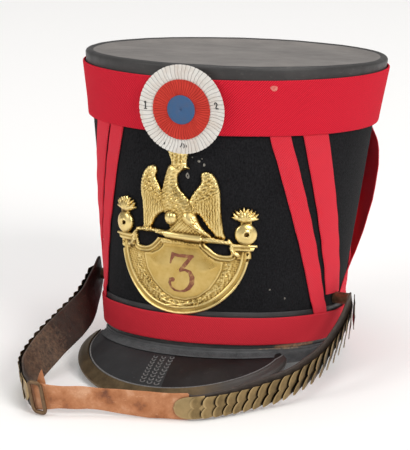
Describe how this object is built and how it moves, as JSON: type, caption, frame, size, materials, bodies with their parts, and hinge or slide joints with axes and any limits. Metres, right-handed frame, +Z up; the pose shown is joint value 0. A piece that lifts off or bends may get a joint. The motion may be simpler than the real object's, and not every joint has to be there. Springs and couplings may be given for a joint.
{
  "type": "shako hat",
  "caption": "Tall felt military cap that widens to a leather top, with a peak, pleated cockade, brass plate, red bands and a brass-scaled chin strap.",
  "frame": {"origin": "on the surface the hat rests on, at the middle of its bounding box seen from above", "axes": "+Z up, -Y to the front where the plate and the peak are, +X to the right of somebody facing the plate"},
  "size_m": [0.235, 0.3366, 0.2392],
  "materials": {
    "felt": "brushed wool felt, dusty",
    "top_leather": "worn matte leather",
    "black_leather": "worn black leather",
    "strap_leather": "dry dark leather",
    "peak_leather": "waxed and scuffed",
    "brown_leather": "dry cognac leather",
    "red_band": "woven wool",
    "red_tape": "woven wool",
    "cockade_paper": "pleated, creased",
    "bright_brass": "polished, tarnished in the hollows",
    "dull_brass": "dull, brown patina",
    "scale_brass": "tarnished, rubbed edges",
    "buckle_metal": "dark, brown patina"
  },
  "bodies": {
    "root": {"crown_shell": "felt", "crown_top": "top_leather", "top_band": "red_band", "base_band": "red_band", "base_leather": "black_leather", "peak": "peak_leather", "peak_rim": "dull_brass", "cockade": "cockade_paper", "plate": "bright_brass", "tape_right_front": "red_tape", "tape_right_back": "red_tape", "tape_right_mid": "red_tape", "tape_right_loose": "red_tape", "tape_left_front": "red_tape", "tape_left_back": "red_tape", "tape_left_mid": "red_tape", "tape_left_rear": "red_tape", "strap_right": "strap_leather", "strap_left": "strap_leather", "strap_front": "brown_leather", "strap_tip": "brown_leather", "scales_right": "scale_brass", "scales_left": "scale_brass", "buckle": "buckle_metal", "stud_right": "buckle_metal", "stud_left": "buckle_metal"}
  },
  "joints": []
}
